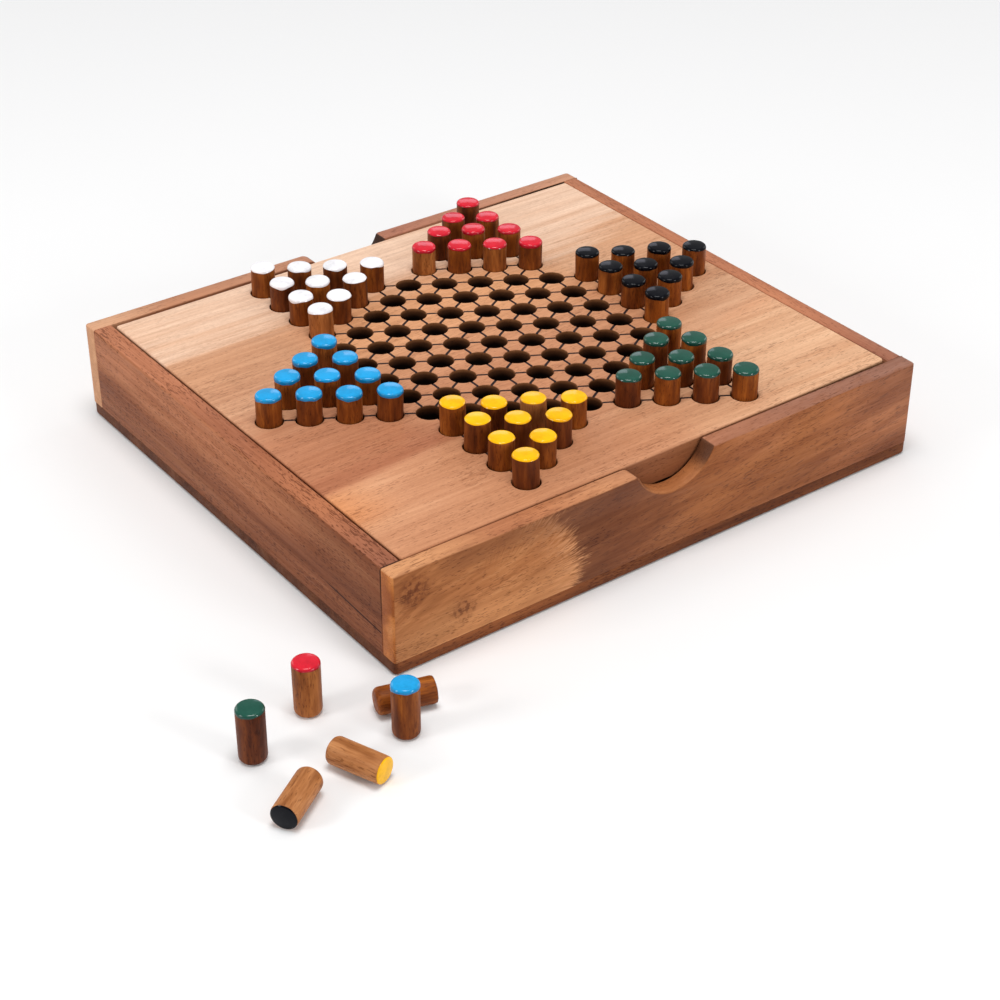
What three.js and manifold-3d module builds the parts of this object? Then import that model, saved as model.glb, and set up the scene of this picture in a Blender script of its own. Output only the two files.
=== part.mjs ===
// A Chinese checkers set: a shallow wooden box, a drilled playing board that lifts out of it,
// wooden pegs standing in the arms of the star, and a spare peg of each colour beside the box.
//
// Millimetres. The origin is the centre of the base panel's underside, +X runs along the front
// wall, +Y points to the back wall and +Z is up.

import * as THREE from "three";
import { mergeVertices } from "three/addons/utils/BufferGeometryUtils.js";
import Module from "manifold-3d";

// ---- the driving dimensions ----

const HOLE_PITCH = 15;              // from one hole to the next along a row of the star

const BOX_LENGTH = 247;
const BOX_DEPTH = 221;
const BASE_THICKNESS = 5.5;
const WALL_HEIGHT = 36;
const LONG_WALL_THICKNESS = 7.2;    // the front and back walls, which run the full length
const SHORT_WALL_THICKNESS = 8;     // the left and right walls, which stand between them

const NOTCH_RADIUS = 19;            // the finger notch is an arc of this radius
const NOTCH_DEPTH = 12.4;
const FRONT_NOTCH_X = 1.2;          // the notches are a little off the middle, to either side
const BACK_NOTCH_X = -0.8;
const NOTCH_STEPS = 20;

const BOARD_THICKNESS = 13;
const BOARD_END_CLEARANCE = 0.7;    // at the left and right, so that the board lifts out freely
const BOARD_SIDE_CLEARANCE = 1.6;   // at the front and back
const BOARD_ABOVE_RIM = 0.5;        // the board stands a little proud of the walls
const LEDGE_WIDTH = 10;
const LEDGE_HEIGHT = 9;

const PEG_DIAMETER = 10;
const PEG_LENGTH = 21.5;
const PEG_SUNK = 10.3;              // how far a peg stands down in its hole
const HOLE_DIAMETER = 10.8;
const HOLE_DEPTH = 10.5;
const HOLE_SIDES = 12;
const PEG_SIDES = 12;
const PEG_END_ROUNDING = 1.2;       // the bare end, which goes in first
const PEG_TOP_EDGE = 0.5;           // the painted end

const ARM_ROWS = 4;                 // an arm's rows hold 1, 2, 3 and 4 holes, from the tip inwards
const MODELLED_PEGS = 7;            // pegs of each colour that are nodes of their own, from the tip

// One arm of the star for each colour, by the direction in which its tip points.
const ARMS = [
  { colour: "black", angle: 0 },
  { colour: "red", angle: 60 },
  { colour: "white", angle: 120 },
  { colour: "blue", angle: 180 },
  { colour: "yellow", angle: 240 },
  { colour: "green", angle: 300 },
];

// The spare pegs: x and y of the middle, and the way the painted end points.
// A standing peg has no heading.
const SPARE_PEGS = [
  { colour: "red", x: -157.3, y: -108.4 },
  { colour: "green", x: -184.8, y: -118.4 },
  { colour: "blue", x: -137.3, y: -137.5 },
  { colour: "white", x: -129.8, y: -125.9, heading: -16.8 },
  { colour: "yellow", x: -160.8, y: -144.6, heading: -68.4 },
  { colour: "black", x: -186.2, y: -148.2, heading: -146.4 },
];

const WOOD = { base: "#5a2f1d", front: "#a5653a", back: "#a8683f", left: "#8f5130", right: "#8a4e30",
               board: "#d8a67c", ledge: "#a9713f" };
const PAINT = { black: "#20222e", red: "#e0324b", white: "#f7f5f9", blue: "#2d9be1",
                yellow: "#ffcd00", green: "#2f7a5e" };

// ---- sizes worked out from those ----

const RIM_Z = BASE_THICKNESS + WALL_HEIGHT;
const BOARD_TOP_Z = RIM_Z + BOARD_ABOVE_RIM;
const BOARD_BOTTOM_Z = BOARD_TOP_Z - BOARD_THICKNESS;
const INNER_LENGTH = BOX_LENGTH - 2 * SHORT_WALL_THICKNESS;
const INNER_DEPTH = BOX_DEPTH - 2 * LONG_WALL_THICKNESS;
const BOARD_LENGTH = INNER_LENGTH - 2 * BOARD_END_CLEARANCE;
const BOARD_DEPTH = INNER_DEPTH - 2 * BOARD_SIDE_CLEARANCE;
const PEG_BOTTOM_Z = BOARD_TOP_Z - PEG_SUNK;

const wasm = await Module();
wasm.setup();

// ---- solids ----

function toSolid(geometry) {
  const bare = geometry.clone();
  bare.deleteAttribute("normal");
  bare.deleteAttribute("uv");
  const merged = mergeVertices(bare, 1e-5);
  return new wasm.Manifold(new wasm.Mesh({
    numProp: 3,
    vertProperties: Float32Array.from(merged.attributes.position.array),
    triVerts: Uint32Array.from(merged.index.array),
  }));
}

function toGeometry(solid) {
  const mesh = solid.getMesh();
  const geometry = new THREE.BufferGeometry();
  geometry.setAttribute("position", new THREE.BufferAttribute(mesh.vertProperties, 3));
  geometry.setIndex(new THREE.BufferAttribute(mesh.triVerts, 1));
  geometry.computeVertexNormals();
  return geometry;
}

function block(sizeX, sizeY, sizeZ, x, y, bottomZ) {
  return new THREE.BoxGeometry(sizeX, sizeY, sizeZ).translate(x, y, bottomZ + sizeZ / 2);
}

// A wall with a finger notch at notchX: its outline in X and Z, drawn out along Y from frontY.
function notchedWall(frontY, notchX) {
  const halfLength = BOX_LENGTH / 2;
  const centreZ = RIM_Z - NOTCH_DEPTH + NOTCH_RADIUS;
  const halfAngle = Math.acos((NOTCH_RADIUS - NOTCH_DEPTH) / NOTCH_RADIUS);
  const outline = [
    new THREE.Vector2(-halfLength, BASE_THICKNESS),
    new THREE.Vector2(halfLength, BASE_THICKNESS),
    new THREE.Vector2(halfLength, RIM_Z),
  ];
  for (let step = 0; step <= NOTCH_STEPS; step++) {
    const angle = halfAngle * (1 - 2 * step / NOTCH_STEPS);
    const onRim = step === 0 || step === NOTCH_STEPS;
    const z = onRim ? RIM_Z : centreZ - NOTCH_RADIUS * Math.cos(angle);
    outline.push(new THREE.Vector2(notchX + NOTCH_RADIUS * Math.sin(angle), z));
  }
  outline.push(new THREE.Vector2(-halfLength, RIM_Z));
  const solid = new THREE.ExtrudeGeometry(new THREE.Shape(outline), {
    depth: LONG_WALL_THICKNESS, bevelEnabled: false,
  });
  return solid.rotateX(Math.PI / 2).translate(0, frontY + LONG_WALL_THICKNESS, 0);
}

// A peg along +Z with its bare end at z = 0: rounded there, with a small edge at the painted end.
function pegGeometry() {
  const radius = PEG_DIAMETER / 2;
  const profile = [
    [0, 0],
    [radius - PEG_END_ROUNDING, 0],
    [radius, PEG_END_ROUNDING],
    [radius, PEG_LENGTH - PEG_TOP_EDGE],
    [radius - PEG_TOP_EDGE, PEG_LENGTH],
    [0, PEG_LENGTH],
  ].map(([r, z]) => new THREE.Vector2(r, z));
  return new THREE.LatheGeometry(profile, PEG_SIDES).rotateX(Math.PI / 2);
}

// ---- the star's holes ----

// The holes of one arm, from its tip inwards, as places on the board.
function armHoles(angleDegrees) {
  const angle = THREE.MathUtils.degToRad(angleDegrees);
  const rowStep = HOLE_PITCH * Math.sqrt(3) / 2;
  const holes = [];
  for (let row = 0; row < ARM_ROWS; row++) {
    const out = (2 * ARM_ROWS - row) * rowStep;
    for (let place = 0; place <= row; place++) {
      const across = (place - row / 2) * HOLE_PITCH;
      holes.push(new THREE.Vector2(out, across).rotateAround(new THREE.Vector2(), angle));
    }
  }
  return holes;
}

// The holes of the hexagon in the middle, four steps from its centre to each corner.
function middleHoles() {
  const holes = [];
  for (let a = -ARM_ROWS; a <= ARM_ROWS; a++) {
    for (let b = -ARM_ROWS; b <= ARM_ROWS; b++) {
      if (Math.abs(a + b) > ARM_ROWS) continue;
      holes.push(new THREE.Vector2((a + b / 2), b * Math.sqrt(3) / 2)
        .multiplyScalar(HOLE_PITCH).rotateAround(new THREE.Vector2(), Math.PI / 6));
    }
  }
  return holes;
}

function playingBoard() {
  const flatToFlat = HOLE_DIAMETER / 2 / Math.cos(Math.PI / HOLE_SIDES);
  const drill = new THREE.CylinderGeometry(flatToFlat, flatToFlat, 2 * HOLE_DEPTH, HOLE_SIDES)
    .rotateX(Math.PI / 2);
  const places = [...middleHoles(), ...ARMS.flatMap((arm) => armHoles(arm.angle))];
  const drills = places.map((p) => toSolid(drill.clone().translate(p.x, p.y, BOARD_TOP_Z)));
  const panel = toSolid(block(BOARD_LENGTH, BOARD_DEPTH, BOARD_THICKNESS, 0, 0, BOARD_BOTTOM_Z));
  return toGeometry(panel.subtract(wasm.Manifold.union(drills)));
}

// ---- the assembly ----

const object = new THREE.Group();

function add(name, geometry, color, roughness = 0.5) {
  const material = new THREE.MeshStandardMaterial({ color, roughness, metalness: 0 });
  const mesh = new THREE.Mesh(geometry, material);
  mesh.name = name;
  object.add(mesh);
  return mesh;
}

add("base_panel", block(BOX_LENGTH, BOX_DEPTH, BASE_THICKNESS, 0, 0, 0), WOOD.base);
add("front_wall", notchedWall(-BOX_DEPTH / 2, FRONT_NOTCH_X), WOOD.front);
add("back_wall", notchedWall(BOX_DEPTH / 2 - LONG_WALL_THICKNESS, BACK_NOTCH_X), WOOD.back);

for (const [side, sign] of [["left", -1], ["right", 1]]) {
  const wallX = sign * (BOX_LENGTH - SHORT_WALL_THICKNESS) / 2;
  const ledgeX = sign * (INNER_LENGTH - LEDGE_WIDTH) / 2;
  add(`${side}_wall`,
    block(SHORT_WALL_THICKNESS, INNER_DEPTH, WALL_HEIGHT, wallX, 0, BASE_THICKNESS), WOOD[side]);
  add(`${side}_ledge`,
    block(LEDGE_WIDTH, INNER_DEPTH, LEDGE_HEIGHT, ledgeX, 0, BOARD_BOTTOM_Z - LEDGE_HEIGHT),
    WOOD.ledge);
}

add("playing_board", playingBoard(), WOOD.board);

for (const arm of ARMS) {
  armHoles(arm.angle).slice(0, MODELLED_PEGS).forEach((place, index) => {
    const peg = add(`${arm.colour}_peg_${index + 1}`, pegGeometry(), PAINT[arm.colour], 0.35);
    peg.position.set(place.x, place.y, PEG_BOTTOM_Z);
  });
}

for (const spare of SPARE_PEGS) {
  const peg = add(`${spare.colour}_spare_peg`, pegGeometry(), PAINT[spare.colour], 0.35);
  if (spare.heading === undefined) {
    peg.position.set(spare.x, spare.y, 0);
    continue;
  }
  // Lying down: one flat of its side rests on the table and the painted end points along heading.
  const heading = THREE.MathUtils.degToRad(spare.heading);
  const flatDistance = PEG_DIAMETER / 2 * Math.cos(Math.PI / PEG_SIDES);
  const lying = new THREE.Group();
  lying.position.set(spare.x, spare.y, flatDistance);
  lying.rotation.z = heading;
  peg.rotation.set(0, Math.PI / 2, 0);
  peg.geometry.rotateZ(Math.PI / PEG_SIDES).translate(0, 0, -PEG_LENGTH / 2);
  lying.add(peg);
  object.add(lying);
}

export default object;
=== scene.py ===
"""A Chinese checkers set in oiled hardwood: a shallow box, a drilled playing board that lifts out,
and pegs dipped in six colours. Everything is in metres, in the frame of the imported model."""

import math
import random

import bmesh
import bpy
import numpy as np
from mathutils import Matrix, Vector
from mathutils.geometry import delaunay_2d_cdt


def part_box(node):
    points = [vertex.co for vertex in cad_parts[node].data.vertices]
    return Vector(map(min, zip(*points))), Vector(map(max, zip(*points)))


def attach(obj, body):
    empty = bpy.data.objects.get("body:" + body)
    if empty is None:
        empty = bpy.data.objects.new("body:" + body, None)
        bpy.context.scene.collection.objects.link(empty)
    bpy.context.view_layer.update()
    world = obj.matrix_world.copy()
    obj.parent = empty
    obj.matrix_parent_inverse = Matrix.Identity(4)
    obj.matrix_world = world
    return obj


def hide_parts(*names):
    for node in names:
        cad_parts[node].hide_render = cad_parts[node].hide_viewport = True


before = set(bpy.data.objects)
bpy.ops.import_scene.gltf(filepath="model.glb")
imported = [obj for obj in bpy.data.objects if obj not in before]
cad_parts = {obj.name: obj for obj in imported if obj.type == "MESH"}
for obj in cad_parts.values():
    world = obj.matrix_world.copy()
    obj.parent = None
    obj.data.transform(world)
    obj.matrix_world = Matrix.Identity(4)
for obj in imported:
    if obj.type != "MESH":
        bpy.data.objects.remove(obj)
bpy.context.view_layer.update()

MM = 0.001

COLOURS = ("black", "red", "white", "blue", "yellow", "green")
ROOT, BOARD = "box", "playing_board"


def centre(node):
    low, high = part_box(node)
    return (low + high) / 2


# ---- the camera

CAMERA_PLACE = Vector((-0.4393, -0.5970, 0.4511))
CAMERA_AIM = Vector((-0.0292, -0.0435, 0.001))
CAMERA_ROLL = math.radians(0.10)
CAMERA_LENS_MM = 76.6
SENSOR_MM = 36.0
NEAREST = 0.01


def turned_to(place, aim):
    """The frame of a camera or light that stands at place and looks at aim."""
    turn = (aim - place).to_track_quat("-Z", "Y").to_matrix().to_4x4()
    return Matrix.Translation(place) @ turn


def make_camera():
    data = bpy.data.cameras.new("camera")
    data.lens = CAMERA_LENS_MM
    data.sensor_width = SENSOR_MM
    data.clip_start = NEAREST
    camera = bpy.data.objects.new("camera", data)
    bpy.context.scene.collection.objects.link(camera)
    camera.matrix_world = turned_to(CAMERA_PLACE, CAMERA_AIM) @ Matrix.Rotation(CAMERA_ROLL, 4, "Z")
    bpy.context.scene.camera = camera


make_camera()


# ---- colours and node helpers

def srgb(red, green, blue):
    """A colour given as 0 to 255, as the linear RGBA that shaders take."""
    parts = [c / 255 for c in (red, green, blue)]
    linear = [c / 12.92 if c <= 0.04045 else ((c + 0.055) / 1.055) ** 2.4 for c in parts]
    return (*linear, 1.0)


class Nodes:
    """Short names for building a node tree. A mask is a value that is 1 where something shows, and 0 where
    it doesn't. A sway is a noise centred on 0. A colour is a socket, linear RGBA, or three numbers from 0 to
    255."""

    def __init__(self, name):
        self.material = bpy.data.materials.new(name)
        self.material.use_nodes = True
        self.tree = self.material.node_tree
        self.tree.nodes.clear()
        output = self.tree.nodes.new("ShaderNodeOutputMaterial")
        self.shader = self.tree.nodes.new("ShaderNodeBsdfPrincipled")
        self.link(self.shader.outputs[0], output.inputs["Surface"])

    def link(self, source, target):
        self.tree.links.new(source, target)

    def put(self, socket, value):
        """Links value to the socket, or sets it when it is a plain number or colour."""
        if isinstance(value, bpy.types.NodeSocket):
            self.link(value, socket)
        elif socket.type == "RGBA" and len(value) == 3:
            socket.default_value = srgb(*value)
        else:
            socket.default_value = value

    def attribute(self, name, output="Vector"):
        node = self.tree.nodes.new("ShaderNodeAttribute")
        node.attribute_name = name
        return node.outputs[output]

    def math(self, operation, first, second=0.0, clamp=False):
        node = self.tree.nodes.new("ShaderNodeMath")
        node.operation = operation
        node.use_clamp = clamp
        self.put(node.inputs[0], first)
        self.put(node.inputs[1], second)
        return node.outputs[0]

    def plus(self, first, second):
        return self.math("ADD", first, second)

    def minus(self, first, second, clamp=False):
        return self.math("SUBTRACT", first, second, clamp)

    def times(self, first, second, clamp=False):
        return self.math("MULTIPLY", first, second, clamp)

    def larger(self, first, second):
        return self.math("MAXIMUM", first, second)

    def away(self, value, place):
        """How far value is from place, to either side."""
        return self.math("ABSOLUTE", self.minus(value, place))

    def distance(self, first, second):
        """How far the point with these two coordinates is from the origin."""
        return self.math("SQRT", self.plus(self.times(first, first), self.times(second, second)))

    def swayed(self, value, sway, reach):
        """The value, made to wander by a sway, reach times as far as the sway does."""
        return self.plus(value, self.times(sway, reach))

    def separate(self, vector):
        node = self.tree.nodes.new("ShaderNodeSeparateXYZ")
        self.link(vector, node.inputs[0])
        return node.outputs

    def combine(self, x, y, z):
        node = self.tree.nodes.new("ShaderNodeCombineXYZ")
        for socket, value in zip(node.inputs, (x, y, z)):
            self.put(socket, value)
        return node.outputs[0]

    def vector_math(self, operation, vector, second):
        node = self.tree.nodes.new("ShaderNodeVectorMath")
        node.operation = operation
        self.link(vector, node.inputs[0])
        self.put(node.inputs[1], second)
        return node.outputs[0]

    def shifted(self, vector, offset):
        return self.vector_math("ADD", vector, offset)

    def noise(self, grain, along, across, detail=2.0, roughness=0.5):
        """A noise that repeats so many times per metre along the grain and across it."""
        node = self.tree.nodes.new("ShaderNodeTexNoise")
        node.inputs["Scale"].default_value = 1.0
        node.inputs["Detail"].default_value = detail
        node.inputs["Roughness"].default_value = roughness
        self.link(self.vector_math("MULTIPLY", grain, (along, across, across)), node.inputs["Vector"])
        return node.outputs[0]

    def sway(self, *place, **options):
        return self.minus(self.noise(*place, **options), 0.5)

    def step(self, value, start, end):
        """A mask that grows smoothly from 0 at start to 1 at end. The end may be the lower of the two."""
        node = self.tree.nodes.new("ShaderNodeMapRange")
        node.interpolation_type = "SMOOTHSTEP"
        self.put(node.inputs["Value"], value)
        node.inputs["From Min"].default_value = start
        node.inputs["From Max"].default_value = end
        return node.outputs["Result"]

    def where(self, *steps):
        """The mask of where all these steps, each a value with its start and end, are past their ends."""
        mask = self.step(*steps[0])
        for step in steps[1:]:
            mask = self.times(mask, self.step(*step))
        return mask

    def ramp(self, value, *stops):
        node = self.tree.nodes.new("ShaderNodeValToRGB")
        self.put(node.inputs[0], value)
        elements = node.color_ramp.elements
        while len(elements) < len(stops):
            elements.new(0.5)
        for element, (place, colour) in zip(elements, stops):
            element.position = place
            element.color = srgb(*colour) if len(colour) == 3 else colour
        return node.outputs[0]

    def mix(self, factor, first, second, blend="MIX"):
        node = self.tree.nodes.new("ShaderNodeMix")
        node.data_type = "RGBA"
        node.blend_type = blend
        self.put(node.inputs[0], factor)
        self.put(node.inputs[6], first)
        self.put(node.inputs[7], second)
        return node.outputs[2]

    def over(self, colour, mask, strength, layer):
        """The colour with another laid over it, as strongly as that, where the mask is 1."""
        return self.mix(self.times(mask, strength), colour, layer)

    def tinted(self, colour, tint):
        """The colour times a linear red, green and blue."""
        return self.mix(1.0, colour, (*tint, 1.0), "MULTIPLY")

    def bump(self, height, distance, strength):
        node = self.tree.nodes.new("ShaderNodeBump")
        node.inputs["Strength"].default_value = strength
        node.inputs["Distance"].default_value = distance
        self.link(height, node.inputs["Height"])
        self.link(node.outputs[0], self.shader.inputs["Normal"])


# ---- wood

GRAIN = "grain"  # a point attribute: X along the grain, Y and Z across it, in metres
FIBRE_TINT = (0.52, 0.40, 0.33)
PORE_TINT = (0.34, 0.25, 0.20)
PORE_EDGE = (0.67, 0.74)  # the specks' noise from which there is a pore, from and to
MORE_PORES = 0.05  # how much lower those lie where pores is one more
WOOD_RELIEF = 0.06 * MM
WOOD_SPECULAR = 0.14


def finish_wood(n, grain, colour, pores=1.0, pore_depth=0.5, fibre_depth=0.16, roughness=(0.46, 0.62)):
    """Adds what every wood here has: fine fibres, short dark pores, a satin oil finish."""
    fibre = n.noise(grain, 50, 1300, detail=3.0, roughness=0.65)
    lines = n.noise(grain, 13, 360, detail=3.0, roughness=0.6)
    specks = n.noise(grain, 380, 2300, detail=1.0)
    crowding = n.sway(grain, 34, 130, detail=2.0)
    pore = n.step(n.swayed(specks, crowding, 0.35), *[edge - MORE_PORES * pores for edge in PORE_EDGE])
    shade = n.step(n.plus(n.times(fibre, 0.5), n.times(lines, 0.5)), 0.34, 0.66)
    toned = n.over(colour, n.minus(1.0, shade), fibre_depth * 2, n.tinted(colour, FIBRE_TINT))
    final = n.over(toned, pore, pore_depth, n.tinted(toned, PORE_TINT))
    n.link(final, n.shader.inputs["Base Color"])
    smoothest, roughest = roughness
    n.link(n.minus(roughest, n.times(shade, roughest - smoothest)), n.shader.inputs["Roughness"])
    n.bump(n.minus(n.times(shade, 0.5), pore), WOOD_RELIEF, 0.5)
    n.shader.inputs["Specular IOR Level"].default_value = WOOD_SPECULAR
    return n.material


def banded(n, grain, bands, dark, light, glow):
    """Bands that run from dark through light to glow, at bands repeats per metre along and across."""
    wave = n.noise(grain, 7, 16, detail=1.5)
    bent = n.shifted(grain, n.combine(0.0, n.times(wave, 0.014), n.times(wave, 0.009)))
    along, across = bands
    wide = n.noise(bent, along, across, detail=3.0, roughness=0.55)
    narrow = n.noise(bent, along * 3, across * 4, detail=3.0, roughness=0.6)
    band = n.plus(n.times(wide, 0.68), n.times(narrow, 0.32))
    return n.ramp(band, (0.36, dark), (0.50, light), (0.65, glow))


# ---- the board's wood

# X runs to the right and Y to the back from the middle of the star. A pair is where a step starts and ends.
VEIN_START = -0.0540  # the vein's front edge at the board's left end, in Y
VEIN_SLOPE = 0.050  # and how much further back it lies for each metre to the right
VEIN_BEND_X = 0.02  # to the right of this it also curves to the back,
VEIN_BEND = 1.4  # by this much times the square of the distance
VEIN_EDGE = (-0.0034, 0.0030)  # how soft the edge is
VEIN_DEPTH = (-0.004, 0.112)  # the vein's colours change over this much behind the edge
PALE_DEPTH = (0.102, 0.124)  # and give way to the pale sapwood here
RIGHT_HALF_X = (-0.055, 0.085)
RUDDY_X = (-0.01, 0.08)
RUDDY_Y = (-0.036, -0.050)
TAN_ASIDE = (0.060, 0.010)  # to either side of the middle
TAN_Y = (-0.050, -0.088)
STAIN_X = (-0.088, -0.113)
STAIN_MIDDLE_Y = -0.066
STAIN_REACH = (0.022, 0.004)
HANDLED_REACH = (0.078, 0.060)  # from the middle of the star
HANDLED_BACK_Y = (-0.012, 0.034)
SIDE_SHADE_DEPTH = (0.3 * MM, 1.4 * MM)  # below the top: where the painted shade on the sides starts and where it is full


def board_wood():
    """Light sapwood at the back, and a pinkish-brown vein in front of it. The vein is darkest along its
    front edge, which runs across the board a little askew, and it fades into streaks towards the back
    and the right. In front of that edge the wood is honey-coloured."""
    n = Nodes("board_wood")
    grain = n.attribute(GRAIN)
    x, y, z = n.separate(grain)
    low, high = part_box(BOARD)
    slow = n.sway(grain, 7, 17, detail=2.0)
    streak = n.sway(grain, 7, 150, detail=4.0, roughness=0.62)
    to_right = n.step(n.swayed(x, slow, 0.10), *RIGHT_HALF_X)
    right = n.larger(n.minus(x, VEIN_BEND_X), 0.0)
    bend = n.times(n.times(right, right), VEIN_BEND)
    edge = n.plus(n.plus(n.times(n.minus(x, low.x), VEIN_SLOPE), bend), VEIN_START)
    behind = n.swayed(n.minus(y, edge), slow, 0.012)
    ragged = n.swayed(behind, streak, 0.045)

    light = n.step(n.plus(n.times(slow, 0.8), n.times(streak, 0.8)), -0.24, 0.26)
    pale = n.mix(light, (231, 184, 150), (248, 212, 184))
    ruddy = n.mix(light, (215, 158, 117), (242, 196, 157))
    vein = n.ramp(n.step(ragged, *VEIN_DEPTH),
                  (0.0, (186, 119, 85)), (0.10, (194, 130, 94)), (0.34, (201, 139, 104)),
                  (0.50, (213, 157, 121)), (0.66, (223, 169, 132)), (0.80, (214, 158, 121)),
                  (1.0, (215, 160, 122)))
    front = n.ramp(n.step(n.swayed(slow, streak, 0.4), -0.22, 0.24),
                   (0.0, (202, 140, 101)), (0.5, (214, 153, 114)), (1.0, (228, 171, 131)))

    # The right-hand half is ruddier and paler than the left.
    vein = n.over(vein, to_right, 0.66, ruddy)
    ruddiness = n.plus(n.times(n.step(y, *RUDDY_Y), 0.65), 0.15)
    front = n.over(front, n.step(x, *RUDDY_X), ruddiness, ruddy)
    # The front edge is browner about its middle and more golden near the left-hand corner.
    tanned = n.where((n.away(n.swayed(x, slow, 0.08), 0.0), *TAN_ASIDE), (n.swayed(y, slow, 0.03), *TAN_Y))
    front = n.over(front, tanned, 0.14, (176, 117, 84))
    stained = n.where((n.swayed(x, slow, 0.04), *STAIN_X), (n.away(y, STAIN_MIDDLE_Y), *STAIN_REACH))
    front = n.over(front, stained, 0.65, (222, 142, 84))

    back = n.step(n.plus(ragged, n.times(to_right, 0.024)), *PALE_DEPTH)
    colour = n.mix(back, n.mix(n.step(behind, *VEIN_EDGE), front, vein), pale)
    # Among the empty holes the wood has been handled, and is an even tan.
    handled = n.step(n.swayed(n.distance(x, y), slow, 0.010), *HANDLED_REACH)
    farther = n.step(n.swayed(y, streak, 0.05), *HANDLED_BACK_Y)
    tan = n.mix(farther, (207, 145, 106), (226, 163, 116))
    colour = n.over(colour, handled, 0.80, tan)
    grit = n.step(n.noise(grain, 900, 1700, detail=2.0), 0.36, 0.64)
    colour = n.over(colour, grit, 0.13, n.tinted(colour, (0.55, 0.46, 0.40)))
    # The edges and sides are darker: painted shade of the gap between the board and the walls.
    side = n.step(z, *[high.z - depth for depth in SIDE_SHADE_DEPTH])
    colour = n.over(colour, side, 0.86, n.tinted(colour, (0.42, 0.29, 0.19)))
    pore_depth = n.minus(0.48, n.times(back, 0.30))
    return finish_wood(n, grain, colour, pores=0.95, pore_depth=pore_depth, fibre_depth=0.20,
                       roughness=(0.46, 0.60))


HOLE_DEEP_SHADE_DEPTH = (4.6 * MM, 1.4 * MM)  # down a hole, from the darkest painted shade to a lighter painted shade
HOLE_SHADE_DEPTH = (2.0 * MM, 0.2 * MM)  # and from that to the brown wood near the rim


def hole_wood():
    """The drilled wood, with painted shade that grows darker towards the bottom of the hole."""
    n = Nodes("hole_wood")
    grain = n.attribute(GRAIN)
    _, _, z = n.separate(grain)
    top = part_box(BOARD)[1].z
    rings = n.noise(grain, 240, 240, detail=3.0)
    deepest_shade = n.mix(rings, (16, 8, 5), (34, 18, 10))
    hole_shade = n.mix(rings, (74, 42, 24), (98, 60, 36))
    brown = n.mix(rings, (134, 84, 50), (166, 112, 72))
    # Painted shade, darkest at the bottom of the hole.
    colour = n.mix(n.step(z, *[top - depth for depth in HOLE_DEEP_SHADE_DEPTH]), deepest_shade, hole_shade)
    colour = n.mix(n.step(z, *[top - depth for depth in HOLE_SHADE_DEPTH]), colour, brown)
    return finish_wood(n, grain, colour, pores=0.6)


def groove_line():
    """The dark line scorched into the grooves between the holes."""
    n = Nodes("groove_line")
    uneven = n.noise(n.attribute(GRAIN), 700, 700, detail=2.0)
    colour = n.ramp(uneven, (0.3, (34, 22, 22)), (0.7, (62, 43, 42)))
    n.link(colour, n.shader.inputs["Base Color"])
    n.link(n.step(uneven, -1.2, 1.4), n.shader.inputs["Roughness"])
    n.shader.inputs["Specular IOR Level"].default_value = 0.2
    return n.material


# ---- the box's woods

NOTCH_DEPTH = 12.4 * MM
NOTCH_X = {"front": 1.2 * MM, "back": -0.8 * MM}
NOTCH_RADIUS = 19 * MM
RIM_BLEND = (0.9 * MM, 0.3 * MM)  # a wall's face turns into its top edge at this depth below it
NOTCH_DARKEST_DEPTH = 4.5 * MM  # the notch's face is at its darkest, painted shade with some scorch from the saw, at this depth
RIM_SPAN = (-0.12, 0.12)  # the long walls' top edges, in X


def notch_face_light_and_shade(n, grain, colour, side, light, dark):
    """The face of the finger notch: painted light at its lowest, and painted shade with some scorch from the
    saw towards its shoulders. Its front edge has a painted highlight.
    """
    x, y, z = n.separate(grain)
    low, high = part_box(f"{side}_wall")
    across = n.minus(x, NOTCH_X[side])
    up = n.minus(z, high.z - NOTCH_DEPTH + NOTCH_RADIUS)
    off_arc = n.away(n.distance(across, up), NOTCH_RADIUS)
    under_rim = n.step(z, high.z - 0.1 * MM, high.z - 0.5 * MM)
    # From painted light at the notch's lowest to painted shade, with some scorch, towards its shoulders.
    cut = n.mix(n.step(z, high.z - NOTCH_DEPTH + 2.0 * MM, high.z - NOTCH_DARKEST_DEPTH), light, dark)
    # The notch's front edge has a painted highlight, but for its right-hand side.
    rim = n.where((off_arc, 1.0 * MM, 0.5 * MM), (y, low.y + 0.8 * MM, low.y + 0.3 * MM),
                  (across, 6 * MM, -3 * MM))
    colour = n.over(colour, n.times(rim, under_rim), 0.6, light)
    on_arc = n.step(off_arc, 0.50 * MM, 0.22 * MM)
    return n.over(colour, n.times(on_arc, under_rim), 0.92, cut)


# Places on the front wall, in X and Z. Here and below, a pair is where a step starts and ends.
FIGURE_X, FIGURE_Z = -0.085, 0.012  # the crotch figure's fibres spread from here
FIGURE_REACH = 0.0425  # to the right; upwards it is this divided by the next
FIGURE_FLATNESS = 1.15
HAIRS = (46, 120)  # the hairs' noise repeats so often per radian about that point, and per metre from it
CROWN_X, CROWN_Z = (-0.112, -0.092), (0.0285, 0.0365)
LOW_SPECKS_X, LOW_SPECKS_Z = -0.094, 0.016
LOW_SPECKS_REACH = (0.0085, 0.0030)
CORNER_SPECKS_X, CORNER_SPECKS_Z = -0.1150, 0.0328
CORNER_SPECKS_REACH = (0.0078, 0.0030)
CORNER_GLOW_REACH = (0.0105, 0.0030)
HEART_SPAN = (-0.055, 0.125)  # the brown wood's colours run over this, in X
BY_NOTCH_X = 0.042


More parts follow.
